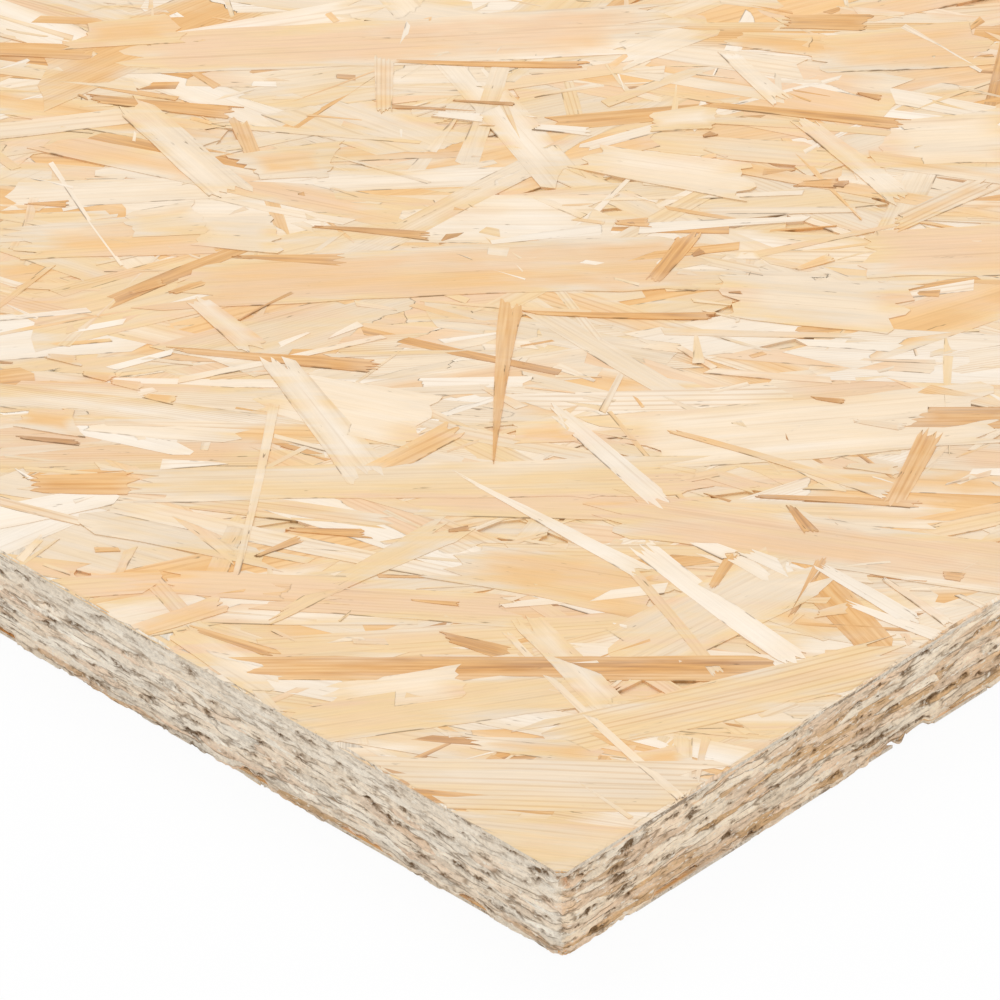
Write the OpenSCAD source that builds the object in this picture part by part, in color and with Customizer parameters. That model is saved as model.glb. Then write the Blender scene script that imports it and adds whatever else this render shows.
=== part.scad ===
// Oriented strand board panel, square edged, lying flat on its underside.
// Millimetres. X runs along the length, Y across the width and Z up through the thickness.
// The origin is the middle of the underside.

/* [Panel] */
// Length of the panel
panel_length = 1220; // [300:1:2500]
// Width of the panel
panel_width = 610; // [200:1:1250]
// Thickness of the pressed board
panel_thickness = 18; // [6:0.5:40]

/* [Sawn edges] */
// Leg of the bevel that handling rubs off the rim of both faces
rim_bevel = 0.4; // [0.1:0.1:2]
// Leg of the bevel that handling rubs off the four upright corners
corner_bevel = 0.8; // [0.1:0.1:4]

/* [Hidden] */
board_colour = [0.95, 0.85, 0.71];
// How far each blank runs past the faces that the other blanks cut
overrun = 5;

// Rectangle centred on the origin, its four corners cut off at 45 degrees
module bevelled_rectangle(across, up, bevel) {
    x = across / 2;
    y = up / 2;
    polygon([
        [x, y - bevel], [x - bevel, y],
        [-x + bevel, y], [-x, y - bevel],
        [-x, -y + bevel], [-x + bevel, -y],
        [x - bevel, -y], [x, -y + bevel],
    ]);
}

// Outline of the face, run up through the thickness: trims the upright corners
module face_blank() {
    translate([0, 0, -overrun])
        linear_extrude(panel_thickness + 2 * overrun)
            bevelled_rectangle(panel_length, panel_width, corner_bevel);
}

// Section across the width, run along the length: trims the rims of the long edges
module long_edge_blank() {
    translate([0, 0, panel_thickness / 2])
        rotate([90, 0, 90])
            linear_extrude(panel_length + 2 * overrun, center = true)
                bevelled_rectangle(panel_width, panel_thickness, rim_bevel);
}

// Section along the length, run across the width: trims the rims of the short edges
module short_edge_blank() {
    translate([0, 0, panel_thickness / 2])
        rotate([90, 0, 0])
            linear_extrude(panel_width + 2 * overrun, center = true)
                bevelled_rectangle(panel_length, panel_thickness, rim_bevel);
}

// The board itself, one pressed and sawn piece
module panel() {
    color(board_colour)
        intersection() {
            face_blank();
            long_edge_blank();
            short_edge_blank();
        }
}

panel();
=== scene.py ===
"""One oriented strand board panel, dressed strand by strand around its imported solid."""

import math

import bmesh
import bpy
from bpy.props import FloatProperty, FloatVectorProperty, IntProperty, PointerProperty
from mathutils import Matrix, Vector


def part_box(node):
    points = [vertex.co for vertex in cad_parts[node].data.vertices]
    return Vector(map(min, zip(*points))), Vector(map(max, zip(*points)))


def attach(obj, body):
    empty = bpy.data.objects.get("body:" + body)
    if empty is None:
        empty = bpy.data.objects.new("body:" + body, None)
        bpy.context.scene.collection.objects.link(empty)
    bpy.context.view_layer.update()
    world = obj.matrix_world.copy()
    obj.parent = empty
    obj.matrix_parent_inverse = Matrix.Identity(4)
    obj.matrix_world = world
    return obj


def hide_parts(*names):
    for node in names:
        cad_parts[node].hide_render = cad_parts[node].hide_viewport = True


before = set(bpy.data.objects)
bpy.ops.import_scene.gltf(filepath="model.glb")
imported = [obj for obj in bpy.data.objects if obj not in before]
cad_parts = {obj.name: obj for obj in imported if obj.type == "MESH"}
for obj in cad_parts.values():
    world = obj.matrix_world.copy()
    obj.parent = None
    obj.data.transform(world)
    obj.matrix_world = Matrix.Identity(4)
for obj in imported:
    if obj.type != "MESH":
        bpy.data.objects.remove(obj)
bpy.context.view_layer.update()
PANEL_LOW, PANEL_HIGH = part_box("panel")

bl_info = {
    "name": "Strand Board Panel",
    "version": (1, 0, 0),
    "blender": (4, 5, 0),
    "location": "View3D > Sidebar > Strand Board",
    "description": "Lays the strands, sawn edges and stage of an oriented strand board panel",
    "category": "Object",
}

MM = 0.001
BODY = "root"
TURN = 2.0 * math.pi

# The strands' tops lie this far below the panel's faces, and the sawn edges this far inside its sides
FACE_SINK = 0.2 * MM
EDGE_INSET = 0.1 * MM

# The strands laid one by one are stepped over this height
CORNER_RISE = 0.1 * MM

# Middle of the picture on the face, right of the near corner and behind it
VIEW_RIGHT = -10.17 * MM
VIEW_BEHIND = 104.1 * MM

# Strength of the sky as a light, and how much of the floor is plain white to the camera
SKY_LIGHT = 0.82
FLOOR_GLOW = 0.94

# Multiples of this number, less their whole parts, fall evenly between 0 and 1
EVEN_SHARE = 0.618

# Tones are places on the strand colour ramp, from fresh sapwood to resin-dark wood.
WHITE, CREAM, GREY, STRAW, PEACH, GOLD, TAN, BROWN = 0.03, 0.15, 0.27, 0.42, 0.57, 0.72, 0.88, 0.98

# Strands read near the photographed corner, lowest first. Each row is the strand's
# middle (right of the corner, behind the corner), its turn from the picture's horizontal,
# its length and its width, all in millimetres and degrees, then its tone, the strength of
# its growth rings and how much its ends draw in to a point.
CORNER_STRANDS = [
    (-20, 170, 5, 90, 16, 0.64, 0.5, 0.2),
    (-30, 238, 5, 90, 15, PEACH, 0.4, 0.2),
    (45, 92, -14, 74, 14, PEACH, 0.6, 0.1),
    (42, 125, 8, 62, 18, CREAM, 0.3, 0.1),
    (-25, 110, 2, 90, 11, STRAW, 0.5, 0.2),
    (0, 82, -15, 36, 15, GOLD, 0.4, 0.3),
    (25, 73, 40, 40, 16, GREY, 0.4, 0.1),
    (-27, 75, -6, 40, 9, PEACH, 0.6, 0.2),
    (-51, 80, -5, 28, 8, PEACH, 0.5, 0.2),
    (-55, 60, -45, 20, 9, CREAM, 0.2, 0.2),
    (0, 8, -10, 42, 14, 0.36, 0.4, 0.1),
    (-8, 25, -2, 64, 15, 0.32, 0.9, 0.1),
    (-9.5, 57, 0, 84, 7, TAN, 0.9, 0.1),
    (-4, 35, -8, 22, 7, GOLD, 0.5, 0.5),
    (16, 32, 10, 8, 6, GOLD, 0.3, 0.3),
    (-20, 46.5, 14, 52, 12, STRAW, 0.4, 0.1),
    (-27, 51, 12, 22, 9, CREAM, 0.3, 0.1),
    (20, 30, 90, 16, 3.2, CREAM, 0.2, 0.2),
    (23, 32, 82, 12, 1.5, PEACH, 0.2, 0.5),
    (27, 48.5, 22, 66, 11.5, STRAW, 1.0, 0.1),
    (1.5, 58, -60, 27, 6, CREAM, 0.2, 0.1),
    (5, 43.5, -58, 54, 1.8, CREAM, 0.4, 0.3),
    (6, 22, -50, 17, 1, CREAM, 0.2, 0.5),
    (51, 78, -45, 21, 4, WHITE, 0.2, 0.5),
    (56, 70, -32, 17, 3, WHITE, 0.2, 0.5),
    (59, 76, -50, 16, 2, PEACH, 0.2, 0.5),
    (45, 73, 20, 5, 3, GOLD, 0.2, 0.5),
    (41, 80, 72, 16, 1.8, TAN, 0.8, 0.5),
    (19, 70, -64, 32, 2.2, PEACH, 0.5, 0.2),
    (26, 75, -51.5, 41, 5, WHITE, 0.1, 0.15),
    (-1.5, 97.5, -42, 40, 4, WHITE, 0.1, 0.85),
    (27, 84.5, 68, 9, 2.2, TAN, 0.4, 0.3),
    (25, 91, -35, 7, 3.5, WHITE, 0.1, 0.3),
    (32, 85.5, -40, 8, 4, WHITE, 0.1, 0.3),
    (36, 86, -35, 12, 4, WHITE, 0.1, 0.4),
    (-17, 96, 10, 3.2, 1.6, BROWN, 0.3, 0.5),
    (-33, 84, 41, 38, 7, STRAW, 0.2, 0.7),
    (-64, 71, 29, 18, 5, GOLD, 0.3, 0.3),
    (-54, 64.5, -28, 14, 2.5, TAN, 0.5, 0.5),
    (-14, 63.5, -25, 11, 4, TAN, 0.8, 0.5),
    (-51, 107, 83, 48, 1.8, CREAM, 0.2, 0.4),
    (-40, 128, -65, 34, 8, 0.08, 0.2, 0.3),
    (-25, 118, 42, 19, 5, GOLD, 1.0, 0.1),
    (-48, 145, -8, 33, 3.6, TAN, 0.8, 0.6),
    (-10, 138, 86, 44, 4, 0.85, 0.4, 0.9),
    (-80, 109, 0, 16, 6, 0.83, 0.8, 0.2),
    (-86, 121.5, -9, 9, 1.6, BROWN, 0.3, 0.5),
    (-84, 145, -15, 5, 2.6, 0.78, 0.3, 0.5),
    (-78, 140, -15, 5, 2.6, 0.78, 0.3, 0.5),
    (-73, 137.5, -15, 5, 2.6, 0.78, 0.3, 0.5),
    (-67.5, 133.5, -15, 5, 2.6, 0.78, 0.3, 0.5),
    (-39, 95.5, -5, 12, 2.5, TAN, 0.5, 0.6),
    (-47, 91, 35, 8, 2, TAN, 0.5, 0.6),
    (-3, 124, 10, 9, 8, GOLD, 0.3, 0.3),
    (8, 117, -56, 31, 4.5, WHITE, 0.2, 0.3),
    (10, 157.5, -2, 31, 2, TAN, 0.6, 0.5),
    (59, 113.5, 72, 20, 4, 0.84, 1.0, 0.2),
    (46.5, 104.4, -5, 26, 2.2, 0.87, 0.4, 0.6),
    (40, 99, -65, 8, 2.5, BROWN, 0.5, 0.5),
    (68, 128, 0, 15, 6, TAN, 1.0, 0.1),
    (37, 115, -27, 40, 2.4, 0.7, 0.3, 0.5),
    (-68, 219, -10, 24, 3.5, TAN, 0.8, 0.4),
    (-30, 225, 90, 16, 3.4, 0.68, 0.8, 0.2),
    (-12, 231.5, -2, 32, 2, TAN, 0.5, 0.5),
    (-46, 174, -3, 17, 3.5, TAN, 0.8, 0.8),
    (-32, 182, -8, 18, 2.5, TAN, 0.5, 0.8),
    (-70, 165.5, 30, 6, 2, TAN, 0.3, 0.4),
    (-63, 165.5, 30, 6, 2, TAN, 0.3, 0.4),
    (-46, 202, 10, 14, 10, GOLD, 0.4, 0.2),
    (-67, 185, 10, 12, 10, STRAW, 0.4, 0.2),
    (42, 216.5, -10, 33, 3.2, TAN, 0.8, 0.6),
    (19, 174, 65, 14, 3.5, TAN, 0.6, 0.3),
    (65, 190, 38, 19, 5, GOLD, 1.0, 0.2),
    (46, 244, 0, 14, 5, TAN, 0.5, 0.3),
    (43, 161, -8, 30, 15, 0.23, 0.2, 0.2),
    (21, 215, 10, 11, 7, 0.12, 0.2, 0.2),
    (18, 200, -15, 28, 11, 0.14, 0.2, 0.3),
    (12.4, 184.5, 0, 5, 2.8, TAN, 0.3, 0.6),
    (12.7, 184.3, 0, 2, 1.2, BROWN, 0.3, 0.6),
    (44, 196, 0, 6, 2.8, TAN, 0.3, 0.5),
    (47, 195.8, 0, 3.4, 2, BROWN, 0.3, 0.6),
    (-90, 235.5, -3, 18, 4.5, 0.83, 0.4, 0.2),
    (-87, 190, 0, 7, 2, TAN, 0.3, 0.8),
    (-74, 241, 8, 16, 9, GOLD, 0.4, 0.2),
    (-55, 181.5, -5, 13, 11, GREY, 0.1, 0.2),
    (-64.5, 206, -56, 30, 8, 0.09, 0.1, 0.2),
    (-56.5, 155, -54, 17, 5, 0.09, 0.1, 0.3),
    (-13, 220, -6, 10, 1, BROWN, 0.2, 0.5),
    (-17.5, 216, -8, 8, 2.4, WHITE, 0.1, 0.4),
    (0.5, 212, -8, 9, 2.6, WHITE, 0.1, 0.4),
    (-21, 75.5, -8, 7, 1.2, TAN, 0.3, 0.6),
    (65.3, 82.8, -10, 3, 2.5, TAN, 0.2, 0.2),
    (45, 133, -12, 5, 1.4, BROWN, 0.2, 0.5),
    (53.5, 126, -12, 8, 2.2, 0.77, 0.2, 0.6),
    (52, 113.5, -8, 8, 3, 0.77, 0.2, 0.6),
    (33.5, 227.5, -58, 16, 4, 0.09, 0.1, 0.3),
    (50, 203, -54, 27, 5, 0.09, 0.1, 0.3),
    (43, 172.5, 30, 7, 2.4, 0.77, 0.2, 0.6),
    (53, 222, -20, 4, 1.6, BROWN, 0.2, 0.6),
    (25.4, 210.4, 30, 2, 1.6, BROWN, 0.2, 0.6),
    (23.3, 175.5, 40, 2.2, 1.8, BROWN, 0.2, 0.6),
    (29.6, 164, 0, 2, 1, BROWN, 0.2, 0.6),
    (-50, 160, 42, 12, 0.7, BROWN, 0.2, 0.6),
    (-86, 127, -10, 9, 7, GOLD, 0.4, 0.3),
]

# Broad strands that lie below those, in rows of the same form
GROUND_STRANDS = [
    (59, 236, 8, 30, 14, 0.66, 0.4, 0.2),
    (66, 209, 5, 22, 16, 0.17, 0.2, 0.2),
    (66, 176, 5, 28, 16, 0.6, 0.4, 0.2),
    (18, 239, 35, 17, 9, 0.14, 0.2, 0.2),
    (38, 238, -8, 16, 7, GOLD, 0.4, 0.4),
    (-76, 180, 6, 32, 12, 0.68, 0.4, 0.2),
    (-36, 131, -20, 27, 16, 0.13, 0.2, 0.2),
]


def forward(operation):
    """A method that adds a Math node whose first value is the signal."""
    def method(signal, other=0.0):
        return signal.graph.math(operation, signal, other)
    return method


def reflected(operation):
    """A method that adds a Math node whose second value is the signal."""
    def method(signal, other):
        return signal.graph.math(operation, other, signal)
    return method


class Signal:
    """One output socket; arithmetic on it adds Math nodes to its graph."""

    def __init__(self, graph, socket):
        self.graph = graph
        self.socket = socket

    __add__, __radd__ = forward("ADD"), reflected("ADD")
    __sub__, __rsub__ = forward("SUBTRACT"), reflected("SUBTRACT")
    __mul__, __rmul__ = forward("MULTIPLY"), reflected("MULTIPLY")
    __truediv__, __rtruediv__ = forward("DIVIDE"), reflected("DIVIDE")
    __pow__, __rpow__ = forward("POWER"), reflected("POWER")
    __gt__, __lt__ = forward("GREATER_THAN"), forward("LESS_THAN")
    __abs__ = forward("ABSOLUTE")


def pick(sockets, key):
    """The socket at an index, or the first one in use that has this name."""
    if isinstance(key, int):
        return sockets[key]
    for socket in sockets:
        if socket.name == key and socket.enabled and not socket.is_unavailable:
            return socket
    raise KeyError(f"no socket named {key}")


class Made:
    """A node that was added; its outputs are read by name."""

    def __init__(self, graph, node):
        self.graph = graph
        self.node = node

    def __getitem__(self, key):
        return Signal(self.graph, pick(self.node.outputs, key))


class Graph:
    """A shader or geometry node tree that is written as Python expressions."""

    def __init__(self, tree):
        self.tree = tree

    def feed(self, socket, value):
        if isinstance(value, Signal):
            self.tree.links.new(value.socket, socket)
        else:
            socket.default_value = value

    def node(self, kind, options=None, sockets=None):
        """Add a node: its options first, then the values or links of its sockets."""
        node = self.tree.nodes.new(kind)
        for name, value in (options or {}).items():
            if name == "stops":
                set_stops(node.color_ramp, value)
            else:
                setattr(node, name, value)
        for key, value in (sockets or {}).items():
            self.feed(pick(node.inputs, key), value)
        return Made(self, node)

    def math(self, operation, first, second=0.0):
        return self.node("ShaderNodeMath", {"operation": operation}, {0: first, 1: second})["Value"]

    def lower(self, first, second):
        return self.math("MINIMUM", first, second)

    def higher(self, first, second):
        return self.math("MAXIMUM", first, second)

    def limit(self, value, low=0.0, high=1.0):
        return self.lower(self.higher(value, low), high)

    def ramp(self, value, low, high, start=0.0, end=1.0):
        """A smooth step of value from low to high."""
        sockets = {"Value": value, "From Min": low, "From Max": high, "To Min": start, "To Max": end}
        return self.node("ShaderNodeMapRange", {"interpolation_type": "SMOOTHSTEP"}, sockets)["Result"]

    def join(self, x, y, z=0.0):
        return self.node("ShaderNodeCombineXYZ", None, {"X": x, "Y": y, "Z": z})["Vector"]

    def split(self, vector):
        parts = self.node("ShaderNodeSeparateXYZ", None, {"Vector": vector})
        return parts["X"], parts["Y"], parts["Z"]

    def noise(self, place, detail=2.0, roughness=0.5):
        """Noise from 0 to 1 at a place, whose three parts are in units of the noise."""
        vector = self.join(*place)
        sockets = {"Vector": vector, "Scale": 1.0, "Detail": detail, "Roughness": roughness}
        return self.node("ShaderNodeTexNoise", {"noise_dimensions": "3D"}, sockets)["Fac"]

    def mix(self, factor, first, second, blend="MIX"):
        options = {"data_type": "RGBA", "blend_type": blend, "clamp_factor": True}
        sockets = {"Factor": factor, "A": first, "B": second}
        return self.node("ShaderNodeMix", options, sockets)["Result"]

    def colours(self, stops, place):
        """The colour at a place on a ramp of (place, colour) stops."""
        return self.node("ShaderNodeValToRGB", {"stops": stops}, {"Fac": place})["Color"]

    def cells(self, vector, feature):
        """Irregular cells about one unit wide."""
        options = {"voronoi_dimensions": "3D", "feature": feature}
        sockets = {"Vector": vector, "Scale": 1.0, "Randomness": 1.0}
        return self.node("ShaderNodeTexVoronoi", options, sockets)

    def shaded(self, colour, shade):
        """A colour times a grey level."""
        return self.mix(1.0, colour, self.join(shade, shade, shade), "MULTIPLY")


def set_stops(color_ramp, stops):
    """Give a colour ramp these (place, colour) stops."""
    while len(color_ramp.elements) < len(stops):
        color_ramp.elements.new(1.0)
    for element, (place, colour) in zip(color_ramp.elements, stops):
        element.position = place
        element.color = colour


def linear(colour):
    """An sRGB colour written 0 to 255, as the linear RGBA that nodes take."""
    shares = [part / 255.0 for part in colour]
    parts = [s / 12.92 if s <= 0.04045 else ((s + 0.055) / 1.055) ** 2.4 for s in shares]
    return (*parts, 1.0)


def length_setting(name, description, default):
    """A length that a user would change."""
    return FloatProperty(name=name, description=description, unit="LENGTH", default=default)


def angle_setting(name, description, degrees):
    """An angle that a user would change, its default written in degrees."""
    return FloatProperty(
        name=name, description=description, subtype="ANGLE", default=math.radians(degrees))


def colour_setting(name, description, colour):
    """A colour that a user would change, its default written as sRGB from 0 to 255."""
    return FloatVectorProperty(
        name=name, description=description, subtype="COLOR", size=4, default=linear(colour))


class StrandBoardSettings(bpy.types.PropertyGroup):
    """Sizes and colours that a user of the panel would change."""

    length: length_setting("Length", "Length of the panel", PANEL_HIGH.x - PANEL_LOW.x)
    width: length_setting("Width", "Width of the panel", PANEL_HIGH.y - PANEL_LOW.y)
    thickness: length_setting("Thickness", "Thickness of the panel", PANEL_HIGH.z - PANEL_LOW.z)
    strand_thickness: length_setting("Strand thickness", "Thickness of one pressed strand", 0.65 * MM)
    relief: length_setting("Relief", "Height over which the strands of a face are stepped", 0.16 * MM)
    strand_direction: angle_setting(
        "Strand direction", "Main run of the face strands from the panel's length", 43.7)
    strand_spread: angle_setting("Strand spread", "How far strands stray from the main run", 26.0)
    view_azimuth: angle_setting("View azimuth", "Turn of the camera around the panel", 43.7)
    view_elevation: angle_setting("View elevation", "Height of the camera above the panel", 36.05)
    view_width: length_setting("View width", "Width of panel that fills the picture", 167.2 * MM)
    view_distance: length_setting("View distance", "Distance from the camera to the panel", 4.0)
    seed: IntProperty(name="Seed", description="Seed of the strand layout", default=11)
    white_wood: colour_setting("White wood", "Palest sapwood", (254, 242, 226))
    cream_wood: colour_setting("Cream wood", "Pale sapwood", (250, 228, 198))
    grey_wood: colour_setting("Grey wood", "Greyish pale wood", (240, 221, 196))
    straw_wood: colour_setting("Straw wood", "Straw-coloured wood", (245, 213, 163))
    peach_wood: colour_setting("Peach wood", "Pinkish heartwood", (243, 208, 172))
    gold_wood: colour_setting("Gold wood", "Golden heartwood", (246, 201, 142))
    tan_wood: colour_setting("Tan wood", "Orange-tan heartwood", (230, 173, 106))
    brown_wood: colour_setting("Brown wood", "Resin-dark wood and bark", (196, 142, 90))
    ring_tint: colour_setting("Ring tint", "Tint of growth rings and fine grain lines", (233, 214, 192))
    pale_end: colour_setting("Pale end", "Palest sawn strand ends", (250, 240, 223))
    grey_end: colour_setting("Grey end", "Greyish sawn strand ends", (234, 222, 204))
    beige_end: colour_setting("Beige end", "Beige sawn strand ends", (236, 219, 196))
    pink_end: colour_setting("Pink end", "Pinkish sawn strand ends", (229, 203, 177))
    tan_end: colour_setting("Tan end", "Tan sawn strand ends", (212, 176, 134))
    # Painted shade in the deep pits of the sawn edges
    pit_shade: colour_setting("Pit shade", "Deep pits in the sawn edges", (122, 93, 60))
    # Painted shade in gaps, under lifted strand edges, below the face arris and round the hollows of the
    # sawn edges, and the real colour of their dark joints and cracks
    gap_shade_and_joints: colour_setting("Gap shade and joints", "Shaded gaps between strands", (122, 90, 55))


def settings():
    """The panel's sizes and colours in this scene."""
    return bpy.context.scene.strand_board


# Geometry trees


class GeometryGraph(Graph):
    """A Geometry Nodes tree with named inputs for its counts, its sizes and its material."""

    def __init__(self, name, counts, sizes):
        super().__init__(bpy.data.node_groups.new(name, "GeometryNodeTree"))
        face = self.tree.interface
        face.new_socket(name="Geometry", in_out="INPUT", socket_type="NodeSocketGeometry")
        for label in counts:
            face.new_socket(name=label, in_out="INPUT", socket_type="NodeSocketInt")
        for label in sizes:
            face.new_socket(name=label, in_out="INPUT", socket_type="NodeSocketFloat")
        face.new_socket(name="Material", in_out="INPUT", socket_type="NodeSocketMaterial")
        face.new_socket(name="Geometry", in_out="OUTPUT", socket_type="NodeSocketGeometry")
        self.given = self.node("NodeGroupInput")

    def random(self, low, high, salt):
        """A number between low and high for each point, its draw named by salt."""
        seed = self.given["Seed"] + salt
        options, sockets = {"data_type": "FLOAT"}, {"Min": low, "Max": high, "Seed": seed}
        return self.node("FunctionNodeRandomValue", options, sockets)["Value"]

    def between(self, low, high, share):
        """A value this share of the way from one named input to another."""
        return self.given[low] + share * (self.given[high] - self.given[low])

    def store(self, geometry, name, value, kind="FLOAT_VECTOR", domain="POINT"):
        options = {"data_type": kind, "domain": domain}
        sockets = {"Geometry": geometry, "Name": name, "Value": value}
        return self.node("GeometryNodeStoreNamedAttribute", options, sockets)["Geometry"]

    def stored(self, name, kind="FLOAT_VECTOR"):
        node = self.node("GeometryNodeInputNamedAttribute", {"data_type": kind}, {"Name": name})
        return node["Attribute"]

    def move(self, geometry, position):
        sockets = {"Geometry": geometry, "Position": position}
        return self.node("GeometryNodeSetPosition", None, sockets)["Geometry"]

    def close(self, geometry):
        """Realize, give the material input and end the tree."""
        whole = self.node("GeometryNodeRealizeInstances", None, {"Geometry": geometry})["Geometry"]
        sockets = {"Geometry": whole, "Material": self.given["Material"]}
        dressed = self.node("GeometryNodeSetMaterial", None, sockets)["Geometry"]
        self.node("NodeGroupOutput", None, {"Geometry": dressed})
        return self.tree


STRAND_COUNTS = ("Count", "Seed", "Rows", "Columns")
STRAND_SIZES = (
    "Centre X", "Centre Y", "Reach X", "Reach Y", "Shortest", "Longest", "Narrowest", "Widest",
    "Direction", "Spread", "Crossing", "Lowest", "Highest", "Strand", "Tone Low", "Tone High",
    "Tone Bend", "Pointed", "Half Length", "Half Width",
)


def strand_tree():
    """Geometry Nodes that lay thin, ragged strands over a face of the panel."""
    g = GeometryGraph("strand mat", STRAND_COUNTS, STRAND_SIZES)
    given = g.given

    # Loose strands, drawn at random
    place = g.join(
        given["Centre X"] + g.random(-1.0, 1.0, 1) * given["Reach X"],
        given["Centre Y"] + g.random(-1.0, 1.0, 2) * given["Reach Y"],
        g.between("Lowest", "Highest", g.random(0.0, 1.0, 3)))
    stray = g.random(-0.5, 0.5, 4) + g.random(-0.5, 0.5, 5) + g.random(-0.5, 0.5, 6)
    along_run = given["Direction"] + given["Spread"] * stray * 1.4
    crosses = g.random(0.0, 1.0, 7) < given["Crossing"]
    turn = along_run + crosses * (g.random(-0.5 * math.pi, 0.5 * math.pi, 8) - along_run)
    size = g.join(
        g.between("Shortest", "Longest", g.random(0.0, 1.0, 9)),
        g.between("Narrowest", "Widest", g.random(0.0, 1.0, 10) ** 1.5),
        given["Strand"])
    tone = g.between("Tone Low", "Tone High", g.random(0.0, 1.0, 11) ** given["Tone Bend"])
    look = g.join(tone, g.random(0.0, 1.0, 12), g.random(0.0, 1.0, 13))
    points = g.node("GeometryNodePoints", None, {"Count": given["Count"], "Radius": 0.001})["Points"]
    points = g.store(points, "place", place)
    points = g.store(points, "turn", turn, "FLOAT")
    points = g.store(points, "size", size)
    points = g.store(points, "look", look)
    points = g.store(points, "draw", g.random(-1.0, 1.0, 14) * given["Pointed"], "FLOAT")

    # Chosen strands, given as vertices
    chosen = g.node("GeometryNodeMeshToPoints", {"mode": "VERTICES"}, {"Mesh": given["Geometry"]})
    both = g.node("GeometryNodeJoinGeometry", None, {"Geometry": points})
    g.tree.links.new(chosen["Points"].socket, both.node.inputs["Geometry"])
    points = both["Geometry"]

    # Strands that miss the panel go
    px, py, pz = g.split(g.stored("place"))
    length, width, depth = g.split(g.stored("size"))
    turn = g.stored("turn", "FLOAT")
    _, figure, luck = g.split(g.stored("look"))
    ca, sa = g.math("COSINE", turn), g.math("SINE", turn)
    grip = 4.0 * MM
    over_x = abs(px) - (abs(ca) * length + abs(sa) * width) * 0.5 + grip > given["Half Length"]
    over_y = abs(py) - (abs(sa) * length + abs(ca) * width) * 0.5 + grip > given["Half Width"]
    options = {"domain": "POINT"}
    sockets = {"Geometry": points, "Selection": over_x + over_y > 0.5}
    points = g.node("GeometryNodeDeleteGeometry", options, sockets)["Geometry"]

    # One flat blank per strand
    sockets = {
        "Size": (1.0, 1.0, 1.0), "Vertices X": given["Rows"], "Vertices Y": given["Columns"],
        "Vertices Z": 2,
    }
    blank = g.node("GeometryNodeMeshCube", None, sockets)["Mesh"]
    sockets = {"Points": points, "Instance": blank}
    strands = g.node("GeometryNodeInstanceOnPoints", None, sockets)["Instances"]
    strands = g.node("GeometryNodeRealizeInstances", None, {"Geometry": strands})["Geometry"]

    # The blank's own axes, in metres
    bx, by, bz = g.split(g.node("GeometryNodeInputPosition")["Position"])
    at_end = abs(bx) > 0.49
    end = g.math("SIGN", bx)
    side = g.math("SIGN", by)
    draw = g.stored("draw", "FLOAT")

    # Ragged ends, uneven sides and a slight bow
    tear = g.noise((by * width * 420.0, luck * 91.0, end * 5.0 + luck * 17.0), 2.0, 0.7)
    splinter = g.node("ShaderNodeTexWhiteNoise", None, {"Vector": g.join(by * 40.0, luck, end)})["Value"]
    tear = (tear - 0.5) * 1.8 + (splinter - 0.5) * 0.9
    tear_reach = g.lower(width * 0.9, length * 0.16)
    slant = g.noise((luck * 53.0, end * 3.0, 2.0), 0.0) - 0.5
    u = bx * length + at_end * (tear * tear_reach + slant * by * width * 4.0)
    waver = g.noise((bx * length * 60.0, luck * 71.0, side * 4.0), 2.0) - 0.5
    half = width * 0.5 * (1.0 - abs(draw) * 0.5 + draw * bx) + waver * width * 0.2
    v = by * 2.0 * half
    v = v + (luck - 0.5) * length * 0.03 * (bx * bx * 4.0 - 0.33)

    x = px + u * ca - v * sa
    y = py + u * sa + v * ca

    # Pressed flat, with a gentle lie of its own
    end_lift, side_lift, swelling = 0.20 * MM, 0.10 * MM, 0.12 * MM
    lie = (luck - 0.5) * end_lift * bx + (figure - 0.5) * side_lift * by
    swell = (g.noise((x * 45.0, y * 45.0, 1.0), 1.0) - 0.5) * swelling
    z = pz + (bz - 0.5) * depth + lie + swell
    strands = g.store(strands, "blank", g.join(bx * 2.0, by * 2.0, half))
    strands = g.move(strands, g.join(x, y, z))

    # Where each point lies along and across its own grain
    sx, sy, _ = g.split(g.node("GeometryNodeInputPosition")["Position"])
    dx, dy = sx - px, sy - py
    grain = g.join(dx * ca + dy * sa, dy * ca - dx * sa, luck)
    strands = g.store(strands, "grain", grain)
    return g.close(strands)


EDGE_COUNTS = ("Columns", "Fine Columns", "Rows")
EDGE_SIZES = ("Fine Reach", "Length", "Width", "Thickness", "Lip", "Rim")

# Length and height of a strand end in the sawn edges
LAMELLA_LENGTH = 9.0 * MM
LAMELLA_HEIGHT = 1.35 * MM

# How far the layers in the sawn edges wander up and down, slowly and quickly
LAYER_SWAY = 3.6 * MM
LAYER_RIPPLE = 1.3 * MM

# Depths in the sawn edges: uneven strand ends, joints, pits, worn arrises, tears and chips
STAND_DEPTH, JOINT_DEPTH, PIT_DEPTH = 0.2 * MM, 0.2 * MM, 0.45 * MM
WORN_DEPTH, TEAR_DEPTH, CHIP_DEPTH = 0.5 * MM, 0.9 * MM, 0.7 * MM

# Heights that the lower arris is crumbled and torn away
CRUMBLE_RISE, TEAR_RISE = 0.5 * MM, 0.7 * MM

# How far from an upright corner its blunting and its chips reach
BLUNT_REACH, CHIP_REACH = 2.6 * MM, 13.0 * MM

# The edges' picture map has this many rows, each of this length of edge
EDGE_LINE = 230.0 * MM
EDGE_LINES = 16.0


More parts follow.
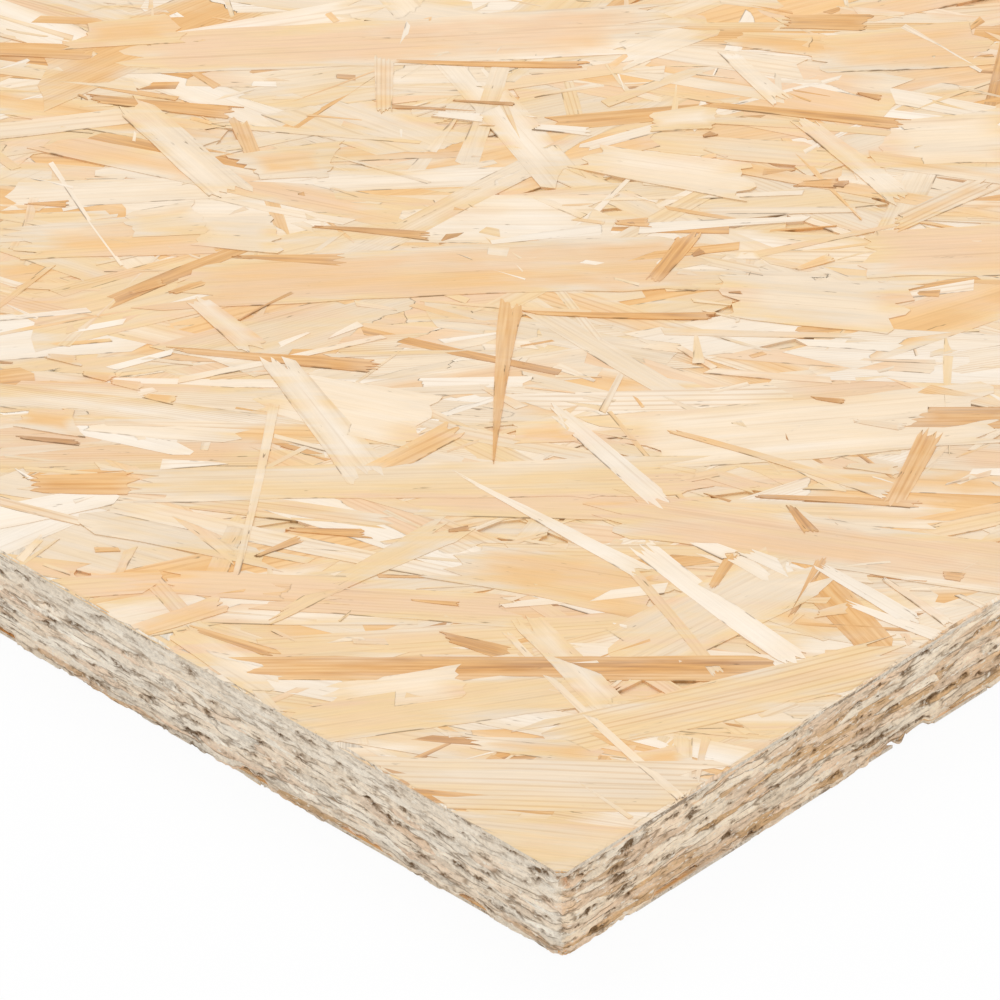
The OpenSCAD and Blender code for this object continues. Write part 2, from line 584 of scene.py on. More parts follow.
def edge_pattern(g, run, up):
    """Strand ends, joints and hollows of the sawn edges at a place round the panel and up it."""
    sway = g.noise((run * 32.0, up * 70.0, 7.0), 3.0, 0.55) - 0.5
    ripple = g.noise((run * 140.0, up * 280.0, 5.0), 2.0) - 0.5
    level = up + sway * LAYER_SWAY + ripple * LAYER_RIPPLE
    cell = g.join(run / LAMELLA_LENGTH, level / LAMELLA_HEIGHT, 0.5)
    ends = g.cells(cell, "F1")
    joints = g.cells(cell, "DISTANCE_TO_EDGE")
    hue, stand, _ = g.split(ends["Color"])
    broken = g.noise((run * 160.0, level * 420.0, 6.0), 3.0, 0.6)
    joint = g.ramp(joints["Distance"], 0.11, 0.0) * g.ramp(broken, 0.45, 0.58)
    ragged = g.noise((run * 900.0, level * 1500.0, 1.0), 2.0, 0.7) - 0.5
    hole = g.noise((run * 190.0, level * 620.0, 3.0), 2.0, 0.5)
    crowd = g.noise((run * 45.0, up * 110.0, 9.0), 2.0)
    hollow = hole + ragged * 0.34 + (crowd - 0.5) * 0.3
    return hue, stand, joint, hollow, level


def edge_tree():
    """Geometry Nodes that wrap a closed, pitted band around the panel's four sawn edges."""
    g = GeometryGraph("sawn band", EDGE_COUNTS, EDGE_SIZES)
    given = g.given
    length, width, height = given["Length"], given["Width"], given["Thickness"]
    columns, rows = given["Columns"], given["Rows"]
    sockets = {"Size X": 1.0, "Size Y": 1.0, "Vertices X": columns + 1.0, "Vertices Y": rows + 4.0}
    sheet = g.node("GeometryNodeMeshGrid", None, sockets)["Mesh"]
    gx, gy, _ = g.split(g.node("GeometryNodeInputPosition")["Position"])

    # Columns stand closer beside the corner between the first two sides
    column = g.math("ROUND", (gx + 0.5) * columns)
    fine_columns, fine_reach = given["Fine Columns"], given["Fine Reach"]
    fine_step = fine_reach * 2.0 / fine_columns
    step = (length * 2.0 + width * 2.0 - fine_reach * 2.0) / (columns - fine_columns)
    fine = g.limit(column - (length - fine_reach) / step, 0.0, fine_columns)
    run = step * (column - fine) + fine_step * fine
    row = g.math("ROUND", (gy + 0.5) * (rows + 3.0))

    # Up the outer face, in over the top, down inside and back out underneath
    inset = given["Lip"] * (g.limit(row - rows) - g.limit(row - rows - 2.0))
    rise = g.limit(row / rows) - g.limit(row - rows - 1.0)
    outer = (row < rows + 0.5) + (row > rows + 2.5)
    up = given["Rim"] + rise * (height - 2.0 * given["Rim"])

    # Round the four sides
    x = g.limit(run, 0.0, length) - g.limit(run - length - width, 0.0, length) - length * 0.5
    y = g.limit(run - length, 0.0, width) - g.limit(run - length * 2.0 - width, 0.0, width) - width * 0.5
    second, third = run > length, run > length + width
    fourth = run > length * 2.0 + width
    side = second + third + fourth
    _, stand, joint, hollow, _ = edge_pattern(g, run, up)
    pit = g.ramp(hollow, 0.60, 0.72)

    # Strand ends stand unevenly, hollows sink, and the corners and lower arris are worn
    crumble = g.noise((run * 260.0, rise * 6.0, 1.0), 3.0, 0.6)
    arris = g.limit((abs(rise - 0.5) - 0.45) / 0.05)
    worn = arris * g.ramp(crumble, 0.4, 0.75) * WORN_DEPTH
    foot = g.limit(1.0 - rise * 7.0)
    tear = g.ramp(g.noise((run * 42.0, 4.0, 1.0), 3.0, 0.6), 0.53, 0.58) * foot
    past = g.lower(run, length * 2.0 + width * 2.0 - run)
    for turning in (length, length + width, length * 2.0 + width):
        past = g.lower(past, abs(run - turning))
    splinter = g.noise((run * 420.0, up * 520.0, 2.0), 3.0, 0.65)
    blunt = g.ramp(past, BLUNT_REACH, 0.0) * (splinter * 2.2 - 0.35) * MM
    chip = g.ramp(past, CHIP_REACH, 2.0 * MM) * g.ramp(rise, 0.5, 0.95) * g.ramp(splinter, 0.45, 0.62)
    sink = stand * STAND_DEPTH + joint * JOINT_DEPTH + pit * PIT_DEPTH + worn + tear * TEAR_DEPTH
    sink = sink + g.higher(blunt, 0.0) + chip * CHIP_DEPTH
    inset = inset + outer * sink
    lift = foot * g.ramp(crumble, 0.45, 0.75) * CRUMBLE_RISE + tear * TEAR_RISE
    scale_x = 1.0 - inset * 2.0 / length
    scale_y = 1.0 - inset * 2.0 / width
    band = g.store(sheet, "edge", g.join(run, up, side), "FLOAT_VECTOR", "CORNER")

    # Plan for a baked picture: the run in rows one above the other, inner faces in a strip between
    options = {"data_type": "FLOAT", "domain": "FACE"}
    face_run = g.node("GeometryNodeFieldOnDomain", options, {"Value": run})["Value"]
    line = g.math("FLOOR", face_run / EDGE_LINE)
    inner = g.limit(row - rows, 0.0, 3.0)
    chart_u = 0.01 + (run / EDGE_LINE - line) * 0.98
    chart_v = (line + rise * 0.84 * (inner < 0.5) + (inner > 0.5) * (0.86 + inner * 0.03)) / EDGE_LINES
    band = g.store(band, "OFBake", g.join(chart_u, chart_v), "FLOAT2", "CORNER")
    band = g.move(band, g.join(x * scale_x, y * scale_y, up + lift))
    touch = 0.005 * MM
    sockets = {"Geometry": band, "Distance": touch}
    band = g.node("GeometryNodeMergeByDistance", None, sockets)["Geometry"]
    return g.close(band)


CORE_SIZES = ("Length", "Width", "Low", "High", "Step")


def core_tree():
    """Geometry Nodes that make the pressed slab under the face strands."""
    g = GeometryGraph("pressed slab", (), CORE_SIZES)
    given = g.given
    height = given["High"] - given["Low"]
    sockets = {
        "Size": g.join(given["Length"], given["Width"], height),
        "Vertices X": given["Length"] / given["Step"], "Vertices Y": given["Width"] / given["Step"],
        "Vertices Z": 2,
    }
    slab = g.node("GeometryNodeMeshCube", None, sockets)["Mesh"]
    x, y, z = g.split(g.node("GeometryNodeInputPosition")["Position"])
    swelling = 0.2 * MM
    uneven = (g.noise((x * 60.0, y * 60.0, z * 90.0), 2.0) - 0.5) * swelling
    slab = g.move(slab, g.join(x, y, z + (given["High"] + given["Low"]) * 0.5 + uneven))
    return g.close(slab)


# Materials


class ShaderGraph(Graph):
    """The nodes of one material, with its Principled shader."""

    def __init__(self, name):
        self.material = bpy.data.materials.new(name)
        self.material.use_nodes = True
        super().__init__(self.material.node_tree)
        self.shader = self.tree.nodes["Principled BSDF"]

    def attribute(self, name):
        options = {"attribute_type": "GEOMETRY", "attribute_name": name}
        return self.node("ShaderNodeAttribute", options)["Vector"]

    def finish(self, colour, roughness, height, strength, distance):
        """Colour, roughness and bump of the material."""
        sockets = {"Height": height, "Strength": strength, "Distance": distance}
        bump = self.node("ShaderNodeBump", None, sockets)["Normal"]
        self.feed(self.shader.inputs["Base Color"], colour)
        self.feed(self.shader.inputs["Roughness"], roughness)
        self.feed(self.shader.inputs["Normal"], bump)
        self.shader.inputs["Specular IOR Level"].default_value = 0.25
        return self.material


def wood_stops():
    """Strand colours in the order of their tones."""
    board = settings()
    return [
        (0.0, board.white_wood), (CREAM, board.cream_wood), (GREY, board.grey_wood),
        (STRAW, board.straw_wood), (PEACH, board.peach_wood), (GOLD, board.gold_wood),
        (TAN, board.tan_wood), (1.0, board.brown_wood),
    ]


def pressed_wood(g, run, cross):
    """Colour of the pressed mat as a whole, streaked along the main run of its strands."""
    drift = g.noise((run * 22.0, cross * 170.0, 3.0), 4.0, 0.6)
    broad = g.noise((run * 15.0, cross * 45.0, 7.0), 1.0)
    tone = g.limit(0.36 + (drift - 0.5) * 1.2 + (broad - 0.5) * 0.9, 0.04, 0.78)
    return g.colours(wood_stops(), tone)


def mat_axes(g):
    """Object coordinates, and the place along and across the main run of the strands."""
    direction = settings().strand_direction
    cosine, sine = math.cos(direction), math.sin(direction)
    x, y, z = g.split(g.node("ShaderNodeTexCoord")["Object"])
    return x, y, z, x * cosine + y * sine, y * cosine - x * sine


def strand_material():
    """Pale pressed wood strands, each with its own tone, rings and fibres."""
    board = settings()
    g = ShaderGraph("strand wood")
    along, across, luck = g.split(g.attribute("grain"))
    tone, figure, chance = g.split(g.attribute("look"))
    length, width, _ = g.split(g.attribute("size"))
    endwise, sidewise, half = g.split(g.attribute("blank"))
    x, y, z, run, cross = mat_axes(g)
    to_side = (1.0 - abs(sidewise)) * half
    to_end = (1.0 - abs(endwise)) * length * 0.5

    # Soft streaks of tone within the strand
    streak = g.noise((along * 16.0, across * 240.0, luck * 80.0), 3.0, 0.55)
    cloud = g.noise((along * 30.0, across * 60.0, luck * 20.0), 2.0)
    stray = (streak - 0.5) * 0.42 + (cloud - 0.5) * 0.25
    calm = g.ramp(tone, 0.9, 0.6, 0.7, 1.0) * g.ramp(tone, 0.0, 0.12, 0.2, 1.0)
    vein = g.noise((along * 45.0, across * 950.0, luck * 33.0), 3.0, 0.7)
    veined = (vein - 0.5) * 0.6 * g.ramp(tone, 0.74, 0.88)
    own_tone = g.limit(tone + stray * calm + veined, 0.0, 1.0)
    wood = g.colours(wood_stops(), own_tone)

    # Pressed together, soft strands take the colour of the mat where they meet
    marked = g.higher(g.ramp(tone, 0.10, 0.05), g.ramp(tone, 0.76, 0.84))
    soft = g.ramp(width, 1.0 * MM, 8.0 * MM, 0.6, 1.0) * (1.0 - marked * 0.7)
    soft = soft * g.ramp(chance, 0.92, 0.7, 0.35, 1.0)
    melt = g.noise((run * 45.0, cross * 110.0, 8.0), 3.0, 0.6)
    beside = g.ramp(to_side, 3.2 * MM, 0.0) * soft
    ended = g.ramp(to_end, g.lower(length * 0.3, 11.0 * MM), 0.0) * (0.9 - marked * 0.6)
    fade = g.higher(beside, ended) * g.ramp(melt, 0.25, 0.5) + g.ramp(melt, 0.42, 0.75) * 0.6 * soft
    wood = g.mix(g.limit(fade), wood, pressed_wood(g, run, cross))

    # Growth rings at a spacing of the strand's own, strong on few strands
    bend = g.noise((along * 12.0, across * 60.0, luck * 40.0), 2.0)
    spacing = (0.5 + 1.0 * chance) * MM
    phase = across / spacing + bend * 3.0 + along * (luck - 0.5) * 30.0
    ring = g.ramp(g.math("SINE", phase * TURN), 0.1, 1.0) * figure * figure
    ring = ring * g.ramp(g.noise((along * 25.0, across * 500.0, luck * 11.0), 2.0), 0.3, 0.6)

    # Fibres and fine lines along the grain
    fibre = g.noise((along * 110.0, across * 2600.0, luck * 60.0), 4.0, 0.7)
    line = g.ramp(g.noise((along * 22.0, across * 1300.0, luck * 25.0), 3.0), 0.56, 0.72)

    # Short dark ticks of painted shadow in the gaps, gathered where strands meet
    patch = g.noise((run * 60.0, cross * 110.0, 5.0), 3.0, 0.6)
    near = g.higher(g.ramp(to_side, 2.0 * MM, 0.0), g.ramp(to_end, 4.0 * MM, 0.0))
    gather = g.ramp(patch + near * 0.06, 0.50, 0.62)
    tick = g.noise((along * 230.0, across * 1500.0, luck * 30.0), 2.0, 0.6)
    tick_shadow = g.ramp(tick, 0.67, 0.75) * gather

    # Painted shadow: a broken dark line under the lifted edge of one side, and now and then under the
    # other
    broken = g.noise((along * 120.0, luck * 50.0, sidewise * 0.4), 3.0, 0.6)
    under = g.ramp(sidewise, 0.2, -0.2, 0.0, 0.05)
    lifted_shadow = g.ramp(broken + under, 0.60, 0.68)
    rim = g.ramp(to_side, 0.3 * MM, 0.06 * MM) * lifted_shadow

    # Strand sides, and the ends that the saw has cut
    _, _, steep = g.split(g.node("ShaderNodeNewGeometry")["Normal"])
    cut = g.ramp(abs(steep), 0.6, 0.3)
    saw_depth = 0.8 * MM
    outside_x = abs(x) > board.length * 0.5 - saw_depth
    outside_y = abs(y) > board.width * 0.5 - saw_depth
    sawn = cut * g.higher(outside_x, outside_y)
    side = cut - sawn
    grit = g.noise(((x + y) * 900.0, (x - y) * 900.0, z * 1500.0), 4.0, 0.75)
    shadow = g.noise(((x + y) * 60.0, (x - y) * 60.0, z * 500.0), 3.0, 0.7)
    shadow = g.ramp(shadow + (grit - 0.5) * 0.5, 0.54, 0.66)

    shade = 1.0 - (fibre - 0.5) * 0.2 - line * 0.04 - (patch - 0.5) * 0.12
    shade = shade + (chance - 0.5) * 0.04
    colour = g.shaded(wood, shade)
    colour = g.mix(ring * 0.6, colour, board.ring_tint, "MULTIPLY")
    colour = g.mix(line * 0.22, colour, board.ring_tint, "MULTIPLY")
    colour = g.mix(side * 0.35, colour, board.ring_tint, "MULTIPLY")
    # Painted shade: shadow lines under lifted edges, shadow ticks, and strand sides under lifted edges
    dark = g.higher(rim * 0.6, tick_shadow * 0.7)
    dark = g.higher(dark, side * lifted_shadow * 0.7)
    colour = g.mix(dark, colour, board.gap_shade_and_joints)
    colour = g.mix(sawn * 0.85, colour, board.grey_end)
    rough = 1.0 - sawn * (grit - 0.42) * 1.2
    colour = g.shaded(colour, rough)
    colour = g.mix(sawn * shadow * 0.7, colour, board.gap_shade_and_joints)
    return g.finish(colour, roughness=0.62, height=fibre, strength=0.3, distance=0.15 * MM)


def edge_material():
    """Sawn strand ends: grey-beige, streaked and pitted."""
    board = settings()
    g = ShaderGraph("sawn strand ends")
    run, up, side = g.split(g.attribute("edge"))
    hue, stand, joint, hollow, level = edge_pattern(g, run, up)

    # Long edges are greyer, short edges show more warm wood
    short = g.math("PINGPONG", side, 1.0)
    patch = g.noise((run * 60.0, level * 330.0, 9.0), 3.0, 0.6)
    foot = g.ramp(up, 4.5 * MM, 1.5 * MM)
    head = g.ramp(up, board.thickness - 8.0 * MM, board.thickness - 4.0 * MM) * (1.0 - short)
    warmth = hue * 0.7 + (patch - 0.5) * 0.9 + 0.08 + short * 0.22 + foot * 0.16
    warmth = g.limit(warmth + head * 0.6 * (0.26 - warmth))
    stops = [
        (0.0, board.pale_end), (0.25, board.grey_end), (0.5, board.beige_end),
        (0.76, board.pink_end), (1.0, board.tan_end),
    ]
    wood = g.colours(stops, warmth)

    # Broken fibres and cracks along the layers, and ragged pits with painted shade in and around the
    # hollows
    layered = 1.0 - head * 0.45
    speck = g.noise((run * 1000.0, up * 1450.0, 1.0), 4.0, 0.75)
    streak = g.noise((run * 165.0, level * 1050.0, 4.0), 4.0, 0.65)
    shade = (stand - 0.5) * 0.25 - (streak - 0.5) * 0.9
    shade = 1.075 - (speck - 0.5) * 0.95 + shade * layered
    hollow_shade = g.ramp(hollow + (speck - 0.5) * 0.2, 0.49, 0.72)
    pit = g.ramp(hollow + (speck - 0.5) * 0.5 + short * 0.02, 0.65, 0.76)
    fleck = g.ramp(g.noise((run * 620.0, level * 1500.0, 2.0), 2.0, 0.6), 0.58, 0.68)
    crack = g.ramp(g.noise((run * 210.0, level * 1700.0, 8.0), 3.0, 0.65), 0.60, 0.69) * layered
    colour = g.shaded(wood, shade)
    warm = g.join(1.0 + short * 0.05, 1.0 + short * 0.025, 1.0 - short * 0.02)
    colour = g.mix(1.0, colour, warm, "MULTIPLY")
    colour = g.mix(joint * layered * 0.62, colour, board.gap_shade_and_joints)
    # Painted shade round the hollows
    colour = g.mix(hollow_shade * 0.6, colour, board.gap_shade_and_joints)
    colour = g.mix(crack * 0.66, colour, board.gap_shade_and_joints)
    colour = g.mix(fleck * 0.9, colour, board.pale_end)
    # Painted shade in the pits
    colour = g.mix(pit * 0.85, colour, board.pit_shade)
    height = stand * 0.3 - joint - pit - crack + speck * 0.9 + streak * 0.5
    return g.finish(colour, roughness=0.8, height=height, strength=0.55, distance=0.3 * MM)


def core_material():
    """Pressed strands below the face, seen only between the upper ones."""
    g = ShaderGraph("pressed inner strands")
    _, _, z, run, cross = mat_axes(g)
    fibre = g.noise((run * 70.0, cross * 1800.0, z), 3.0, 0.6)
    shade = 1.14 - fibre * 0.3
    colour = g.shaded(pressed_wood(g, run, cross), shade)
    return g.finish(colour, roughness=0.75, height=fibre, strength=0.5, distance=0.2 * MM)


# Pieces


def grown(name, tree, values, vertices=None):
    """A plain mesh object made by a geometry tree from these input values."""
    seed_mesh = bpy.data.meshes.new(f"{name} seed")
    seed = bpy.data.objects.new(f"{name} seed", seed_mesh)
    bpy.context.scene.collection.objects.link(seed)
    if vertices:
        vertices(seed_mesh)
    modifier = seed.modifiers.new("nodes", "NODES")
    modifier.node_group = tree
    sockets = {item.name: item.identifier for item in tree.interface.items_tree if item.in_out == "INPUT"}
    for label, value in values.items():
        modifier[sockets[label]] = value
    depsgraph = bpy.context.evaluated_depsgraph_get()
    mesh = bpy.data.meshes.new_from_object(seed.evaluated_get(depsgraph))
    seed.modifiers.remove(modifier)
    bpy.data.objects.remove(seed)
    bpy.data.meshes.remove(seed_mesh)
    mesh.name = name
    mesh.materials.clear()
    mesh.materials.append(values["Material"])
    mesh.polygons.foreach_set("material_index", [0] * len(mesh.polygons))
    piece = bpy.data.objects.new(name, mesh)
    bpy.context.scene.collection.objects.link(piece)
    return piece


def saw(piece, turned=False):
    """Trim a strand mat at the panel's edges, close the cuts, ease the arris and chart it."""
    board = settings()
    ease, drop, uneven = (2.4 * MM, 0.1 * MM, 1.8 * MM) if turned else (0.9 * MM, 0.22 * MM, 0.4 * MM)
    touch = 0.0001 * MM
    mesh = bmesh.new()
    mesh.from_mesh(piece.data)
    look = mesh.verts.layers.float_vector["look"]
    for outward, reach in edge_planes():
        parts = mesh.verts[:] + mesh.edges[:] + mesh.faces[:]
        bmesh.ops.bisect_plane(
            mesh, geom=parts, dist=touch, plane_co=outward * (reach - ease), plane_no=outward)
        parts = mesh.verts[:] + mesh.edges[:] + mesh.faces[:]
        cut = bmesh.ops.bisect_plane(
            mesh, geom=parts, dist=touch, plane_co=outward * reach, plane_no=outward, clear_outer=True)
        rims = [part for part in cut["geom_cut"] if isinstance(part, bmesh.types.BMEdge)]
        filled = bmesh.ops.edgeloop_fill(mesh, edges=rims)
        for face in filled["faces"]:
            face.normal_update()
            if face.normal.dot(outward) < 0.0:
                face.normal_flip()
        for vert in {vert for rim in rims for vert in rim.verts}:
            luck = vert[look].z
            vert.co -= outward * (luck * uneven)
            vert.co.z -= drop * (0.5 + luck)
    if turned:
        for vert in mesh.verts:
            vert.co.z = board.thickness - vert.co.z
        bmesh.ops.reverse_faces(mesh, faces=mesh.faces[:])

    # Plan of the panel as the picture map, outermost faces last
    facing = -1.0 if turned else 1.0
    mesh.faces.sort(key=lambda face: face.calc_center_median().z * facing)
    chart = mesh.loops.layers.uv.new("OFBake")
    for face in mesh.faces:
        for loop in face.loops:
            spot = loop.vert.co
            loop[chart].uv = (0.5 + spot.x / board.length, 0.5 + spot.y / board.width)
    mesh.to_mesh(piece.data)
    mesh.free()


def edge_planes():
    """The outward direction of each sawn edge and blunted corner, and its distance from the middle."""
    board = settings()
    blunt = 0.9 * MM
    long_reach, short_reach = board.length * 0.5 - EDGE_INSET, board.width * 0.5 - EDGE_INSET
    corner_reach = (long_reach + short_reach) * math.sqrt(0.5) - blunt
    planes = []
    for sign in (1.0, -1.0):
        planes.append((Vector((sign, 0.0, 0.0)), long_reach))
        planes.append((Vector((0.0, sign, 0.0)), short_reach))
        for other in (1.0, -1.0):
            planes.append((Vector((sign, other, 0.0)).normalized(), corner_reach))
    return planes


def settle(piece):
    """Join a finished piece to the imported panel."""
    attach(piece, BODY)


def near_corner():
    """The top of the corner that is nearest to the camera."""
    board = settings()
    return Vector((board.length * 0.5, -board.width * 0.5, board.thickness))


def lay(name, values, vertices=None, turned=False):
    """Grow one strand mat, trim it at the edges and join it to the panel."""
    tree = bpy.data.node_groups.get("strand mat") or strand_tree()
    mat = grown(name, tree, values, vertices)
    saw(mat, turned)
    settle(mat)


def face_inputs():
    """Inputs that every strand mat of this panel shares."""
    board = settings()
    spill = 30.0 * MM
    return {
        "Seed": board.seed, "Half Length": board.length * 0.5, "Half Width": board.width * 0.5,
        "Centre X": 0.0, "Centre Y": 0.0,
        "Reach X": board.length * 0.5 + spill, "Reach Y": board.width * 0.5 + spill,
        "Direction": board.strand_direction, "Spread": board.strand_spread, "Crossing": 0.22,
        "Strand": board.strand_thickness, "Tone Low": 0.0, "Tone High": 1.0, "Tone Bend": 1.0,
        "Pointed": 0.4,
        "Material": bpy.data.materials.get("strand wood") or strand_material(),
    }


STRAND_SORTS = {
    "under_strands": {
        "Count": 1700, "Rows": 3, "Columns": 3, "Shortest": 55 * MM, "Longest": 90 * MM,
        "Narrowest": 9 * MM, "Widest": 18 * MM, "Low": -1.0, "High": 0.0, "Tone High": 0.8,
        "Salt": 400,
    },
    "broad_strands": {
        "Count": 2500, "Rows": 4, "Columns": 5, "Shortest": 45 * MM, "Longest": 90 * MM,
        "Narrowest": 7 * MM, "Widest": 17 * MM, "Low": 0.0, "High": 0.8, "Tone High": 0.8,
        "Crossing": 0.12, "Salt": 100,
    },
    "narrow_strands": {
        "Count": 2600, "Rows": 4, "Columns": 4, "Shortest": 30 * MM, "Longest": 80 * MM,
        "Narrowest": 3 * MM, "Widest": 9 * MM, "Low": 0.3, "High": 0.9, "Tone High": 0.92,
        "Crossing": 0.16, "Tone Bend": 1.2, "Salt": 200,
    },
    "slivers": {
        "Count": 4200, "Rows": 3, "Columns": 2, "Shortest": 6 * MM, "Longest": 38 * MM,
        "Narrowest": 0.8 * MM, "Widest": 3.2 * MM, "Low": 0.55, "High": 1.0, "Crossing": 0.35,
        "Pointed": 0.9, "Tone Bend": 1.5, "Salt": 300,
    },
    "fines": {
        "Count": 7000, "Rows": 2, "Columns": 2, "Shortest": 2.5 * MM, "Longest": 12 * MM,
        "Narrowest": 0.5 * MM, "Widest": 2.2 * MM, "Low": 0.6, "High": 1.0, "Crossing": 0.45,
        "Pointed": 0.9, "Tone Bend": 1.3, "Salt": 500,
    },
}


UNDERSIDE_SORT = {
    "Count": 3700, "Rows": 3, "Columns": 4, "Shortest": 35 * MM, "Longest": 95 * MM,
    "Narrowest": 4 * MM, "Widest": 17 * MM, "Low": 0.0, "High": 1.0, "Tone High": 0.92,
    "Tone Bend": 1.2, "Salt": 600,
}


def strand_values(sort):
    """Tree inputs of one sort of strand, laid on the upper face."""
    board = settings()
    top = board.thickness - FACE_SINK
    values = face_inputs()
    own = dict(sort)
    low, high = own.pop("Low"), own.pop("High")
    values["Seed"] = board.seed + own.pop("Salt")
    values["Lowest"] = top - board.relief * (1.0 - low)
    values["Highest"] = top - board.relief * (1.0 - high)
    values.update(own)
    return values


class STRANDBOARD_OT_core(bpy.types.Operator):
    """Make the pressed slab and the sawn edges around it"""

    bl_idname = "strand_board.core"
    bl_label = "Core and Sawn Edges"

    def execute(self, context):
        board = settings()
        inset, cover = 3.0 * MM, 0.75 * MM
        core = grown("pressed_core", core_tree(), {
            "Length": board.length - 2.0 * inset, "Width": board.width - 2.0 * inset,
            "Low": cover, "High": board.thickness - cover, "Step": 12.0 * MM,
            "Material": core_material(),
        })
        settle(core)
        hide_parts("panel")
        edges = grown("sawn_edges", edge_tree(), {
            "Columns": 2740, "Fine Columns": 580, "Fine Reach": 160.0 * MM, "Rows": 26,
            "Length": board.length - 2.0 * EDGE_INSET, "Width": board.width - 2.0 * EDGE_INSET,
            "Thickness": board.thickness, "Lip": 4.0 * MM, "Rim": 0.35 * MM,
            "Material": edge_material(),
        })
        settle(edges)
        return {"FINISHED"}


class STRANDBOARD_OT_face(bpy.types.Operator):
    """Lay the strands of the upper face"""

    bl_idname = "strand_board.face"
    bl_label = "Face Strands"

    def execute(self, context):
        for name, sort in STRAND_SORTS.items():
            lay(f"face_{name}", strand_values(sort))
        return {"FINISHED"}


class STRANDBOARD_OT_underside(bpy.types.Operator):
    """Lay the strands of the underside"""

    bl_idname = "strand_board.underside"
    bl_label = "Underside Strands"

    def execute(self, context):
        lay("underside_strands", strand_values(UNDERSIDE_SORT), turned=True)
        return {"FINISHED"}


class STRANDBOARD_OT_corner(bpy.types.Operator):
    """Lay the strands that are known one by one near a corner"""

    bl_idname = "strand_board.corner"
    bl_label = "Corner Strands"

    def execute(self, context):
        values = face_inputs()
        values.update({"Count": 0, "Rows": 13, "Columns": 11})
        lay("corner_strands", values, self.place)
        return {"FINISHED"}

    def place(self, mesh):
        """Put one vertex with the strand's sizes for each known strand."""
        board = settings()
        corner = near_corner()
        spin = Matrix.Rotation(board.view_azimuth, 3, "Z")
        strands = CORNER_STRANDS + GROUND_STRANDS
        count = len(strands)
        columns = {"place": [], "turn": [], "size": [], "look": [], "draw": []}
        for order, (right, behind, turn, length, width, tone, figure, draw) in enumerate(strands):
            level = (order + len(GROUND_STRANDS)) % count
            spot = corner + spin @ Vector((right * MM, behind * MM, 0.0))
            spot.z += CORNER_RISE * level / count - FACE_SINK
            columns["place"] += tuple(spot)
            columns["turn"].append(board.view_azimuth + math.radians(turn))
            columns["size"] += (length * MM, width * MM, board.strand_thickness)
            columns["look"] += (tone, figure, (order * EVEN_SHARE) % 1.0)
            columns["draw"].append(draw)
        mesh.vertices.add(count)
        for name, numbers in columns.items():
            single = len(numbers) == count
            kind = "FLOAT" if single else "FLOAT_VECTOR"
            attribute = mesh.attributes.new(name, kind, "POINT")
            attribute.data.foreach_set("value" if single else "vector", numbers)


def seen_directly(g):
    """One for rays from the camera, mirrors and glass, which see the plain white ground."""
    paths = g.node("ShaderNodeLightPath")
    mirrored = g.higher(paths["Is Glossy Ray"], paths["Is Transmission Ray"])
    return g.higher(paths["Is Camera Ray"], mirrored)


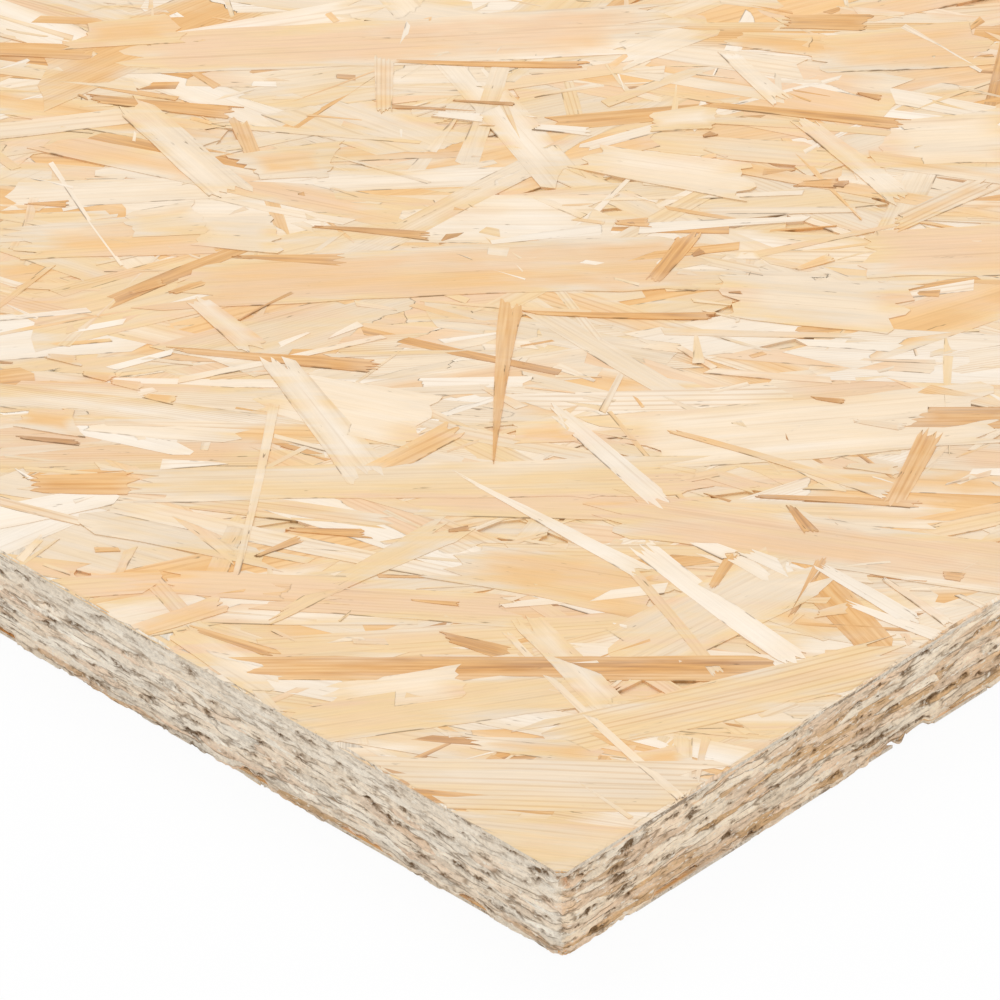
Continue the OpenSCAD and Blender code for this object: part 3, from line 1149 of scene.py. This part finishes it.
class STRANDBOARD_OT_stage(bpy.types.Operator):
    """Set the floor, the soft light and the camera"""

    bl_idname = "strand_board.stage"
    bl_label = "Stage"

    def execute(self, context):
        self.floor()
        self.light(context.scene)
        self.camera(context.scene)
        context.scene.view_settings.view_transform = "Standard"
        return {"FINISHED"}

    def floor(self):
        reach = 20.0
        mesh = bpy.data.meshes.new("floor")
        corners = [(-reach, -reach, 0), (reach, -reach, 0), (reach, reach, 0), (-reach, reach, 0)]
        mesh.from_pydata(corners, [], [(0, 1, 2, 3)])
        floor = bpy.data.objects.new("floor", mesh)
        bpy.context.scene.collection.objects.link(floor)
        g = ShaderGraph("pale floor")
        g.shader.inputs["Base Color"].default_value = (0.97, 0.97, 0.97, 1.0)
        g.shader.inputs["Roughness"].default_value = 0.9
        g.shader.inputs["Specular IOR Level"].default_value = 0.0
        sockets = {"Color": (1.0, 1.0, 1.0, 1.0), "Strength": 1.0}
        white = g.node("ShaderNodeEmission", None, sockets)["Emission"]
        matt = Signal(g, g.shader.outputs["BSDF"])
        sockets = {"Fac": seen_directly(g) * FLOOR_GLOW, 1: matt, 2: white}
        both = g.node("ShaderNodeMixShader", None, sockets)["Shader"]
        g.feed(g.tree.nodes["Material Output"].inputs["Surface"], both)
        mesh.materials.append(g.material)

    def light(self, scene):
        world = bpy.data.worlds.new("studio")
        scene.world = world
        world.use_nodes = True
        g = Graph(world.node_tree)
        sky = world.node_tree.nodes["Background"]
        sky.inputs["Color"].default_value = (1.0, 1.0, 1.0, 1.0)
        g.feed(sky.inputs["Strength"], SKY_LIGHT + seen_directly(g) * (1.0 - SKY_LIGHT))
        lamp = bpy.data.lights.new("key", "AREA")
        lamp.shape = "DISK"
        lamp.size = 2.2
        lamp.energy = 33.0
        key = bpy.data.objects.new("key", lamp)
        scene.collection.objects.link(key)
        key.location = (-1.5, 1.2, 2.6)
        key.rotation_euler = (-Vector(key.location)).to_track_quat("-Z", "Y").to_euler()

    def camera(self, scene):
        board = settings()
        azimuth, elevation = board.view_azimuth, board.view_elevation
        right = Vector((math.cos(azimuth), math.sin(azimuth), 0.0))
        depth = Vector((-math.sin(azimuth), math.cos(azimuth), 0.0))
        back = -depth * math.cos(elevation) + Vector((0.0, 0.0, math.sin(elevation)))
        target = near_corner() + right * VIEW_RIGHT + depth * VIEW_BEHIND
        data = bpy.data.cameras.new("camera")
        data.sensor_width = 36.0
        data.lens = data.sensor_width * board.view_distance / board.view_width
        data.clip_end = 100.0
        camera = bpy.data.objects.new("camera", data)
        scene.collection.objects.link(camera)
        camera.location = target + back * board.view_distance
        camera.rotation_euler = back.to_track_quat("Z", "Y").to_euler()
        scene.camera = camera


class STRANDBOARD_PT_panel(bpy.types.Panel):
    """Sidebar page of the strand board panel"""

    bl_idname = "STRANDBOARD_PT_panel"
    bl_label = "Strand Board"
    bl_space_type = "VIEW_3D"
    bl_region_type = "UI"
    bl_category = "Strand Board"

    def draw(self, context):
        for name in StrandBoardSettings.__annotations__:
            self.layout.prop(context.scene.strand_board, name)
        for operator in OPERATORS:
            self.layout.operator(operator.bl_idname)


OPERATORS = (
    STRANDBOARD_OT_stage, STRANDBOARD_OT_core, STRANDBOARD_OT_face,
    STRANDBOARD_OT_corner, STRANDBOARD_OT_underside,
)
CLASSES = (StrandBoardSettings, *OPERATORS, STRANDBOARD_PT_panel)


def register():
    for kind in CLASSES:
        bpy.utils.register_class(kind)
    bpy.types.Scene.strand_board = PointerProperty(type=StrandBoardSettings)


def unregister():
    del bpy.types.Scene.strand_board
    for kind in reversed(CLASSES):
        bpy.utils.unregister_class(kind)


def main():
    register()
    bpy.ops.strand_board.stage()
    bpy.ops.strand_board.core()
    bpy.ops.strand_board.face()
    bpy.ops.strand_board.corner()
    bpy.ops.strand_board.underside()


if __name__ == "__main__":
    main()
